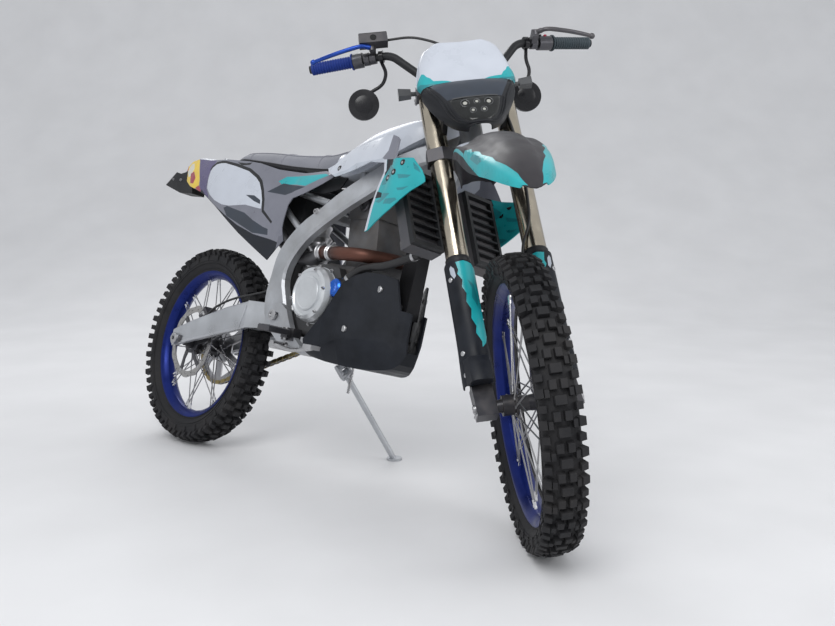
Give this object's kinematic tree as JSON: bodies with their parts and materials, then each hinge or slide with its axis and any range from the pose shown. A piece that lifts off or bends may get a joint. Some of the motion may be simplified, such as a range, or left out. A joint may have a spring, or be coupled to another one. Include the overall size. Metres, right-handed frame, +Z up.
{
  "type": "dirt bike",
  "caption": "Off-road motorcycle parked on its side stand with the front wheel turned, knobby tyres, spoked blue rims, bolt-on skid plate and blank number plates",
  "frame": {"origin": "on the ground, under the middle of the bounding box", "axes": "+X is the direction the bike points, +Y its left, +Z up; it leans to its left on the side stand"},
  "size_m": [2.2258, 0.8892, 1.2799],
  "materials": {
    "frame": "satin",
    "subframe": "satin",
    "swingarm": "satin",
    "rear_axle": "satin",
    "engine": "matte",
    "clutch_cover": "satin",
    "water_pump": "satin",
    "generator_cover": "satin",
    "chain": "satin",
    "exhaust_header": "satin",
    "muffler": "satin",
    "radiators": "matte",
    "radiator_louvres": "matte",
    "shrouds": "gloss",
    "tank_cover": "gloss",
    "seat": "matte",
    "side_panels": "gloss",
    "rear_fender": "gloss",
    "plate_bracket": "matte",
    "tail_lamp": "gloss",
    "airbox": "matte",
    "skid_plate": "matte",
    "footpegs": "satin",
    "foot_levers": "satin",
    "shock": "satin",
    "rear_caliper": "satin",
    "rear_brake_hose": "matte",
    "fork_clamps": "matte",
    "fork_uppers": "satin",
    "fork_lowers": "gloss",
    "fork_guards": "matte",
    "front_axle": "satin",
    "handlebar": "satin",
    "grips": "matte",
    "controls": "matte",
    "mirrors": "matte",
    "number_plate": "gloss",
    "headlight_mask": "matte",
    "headlight_lens": "gloss",
    "indicators": "gloss",
    "front_caliper": "satin",
    "front_brake_hose": "matte",
    "front_fender": "gloss",
    "front_tyre": "matte",
    "front_rim": "satin",
    "front_hub": "satin",
    "front_spokes": "satin",
    "front_disc": "satin",
    "rear_tyre": "matte",
    "rear_rim": "satin",
    "rear_hub": "satin",
    "rear_spokes": "satin",
    "rear_disc": "satin",
    "rear_sprocket": "satin",
    "side_stand": "satin"
  },
  "bodies": {
    "body": {"frame": "frame", "subframe": "subframe", "swingarm": "swingarm", "rear_axle": "rear_axle", "engine": "engine", "clutch_cover": "clutch_cover", "water_pump": "water_pump", "generator_cover": "generator_cover", "chain": "chain", "exhaust_header": "exhaust_header", "muffler": "muffler", "radiators": "radiators", "radiator_louvres": "radiator_louvres", "shrouds": "shrouds", "tank_cover": "tank_cover", "seat": "seat", "side_panels": "side_panels", "rear_fender": "rear_fender", "plate_bracket": "plate_bracket", "tail_lamp": "tail_lamp", "airbox": "airbox", "skid_plate": "skid_plate", "footpegs": "footpegs", "foot_levers": "foot_levers", "shock": "shock", "rear_caliper": "rear_caliper", "rear_brake_hose": "rear_brake_hose"},
    "steering": {"fork_clamps": "fork_clamps", "fork_uppers": "fork_uppers", "fork_lowers": "fork_lowers", "fork_guards": "fork_guards", "front_axle": "front_axle", "handlebar": "handlebar", "grips": "grips", "controls": "controls", "mirrors": "mirrors", "number_plate": "number_plate", "headlight_mask": "headlight_mask", "headlight_lens": "headlight_lens", "indicators": "indicators", "front_caliper": "front_caliper", "front_brake_hose": "front_brake_hose", "front_fender": "front_fender"},
    "front_wheel": {"front_tyre": "front_tyre", "front_rim": "front_rim", "front_hub": "front_hub", "front_spokes": "front_spokes", "front_disc": "front_disc"},
    "rear_wheel": {"rear_tyre": "rear_tyre", "rear_rim": "rear_rim", "rear_hub": "rear_hub", "rear_spokes": "rear_spokes", "rear_disc": "rear_disc", "rear_sprocket": "rear_sprocket"},
    "side_stand": {"side_stand": "side_stand"}
  },
  "joints": [
    {"name": "steering", "type": "hinge", "parent": "body", "child": "steering", "pos_m": [0.42555, 0.01628, 0.99575], "axis": [-0.454, 0.2368, 0.859], "range_deg": [0, 86]},
    {"name": "front_wheel", "type": "hinge", "parent": "steering", "child": "front_wheel", "pos_m": [0.82013, -0.20196, 0.34283], "axis": [0.608, 0.787, 0.1044], "continuous": true},
    {"name": "rear_wheel", "type": "hinge", "parent": "body", "child": "rear_wheel", "pos_m": [-0.6319, -0.16816, 0.3242], "axis": [0.0005, 0.9641, -0.2656], "continuous": true},
    {"name": "side_stand", "type": "hinge", "parent": "body", "child": "side_stand", "pos_m": [-0.03382, -0.04715, 0.28262], "axis": [0.1735, 0.8613, 0.4775], "range_deg": [0, 100]}
  ]
}
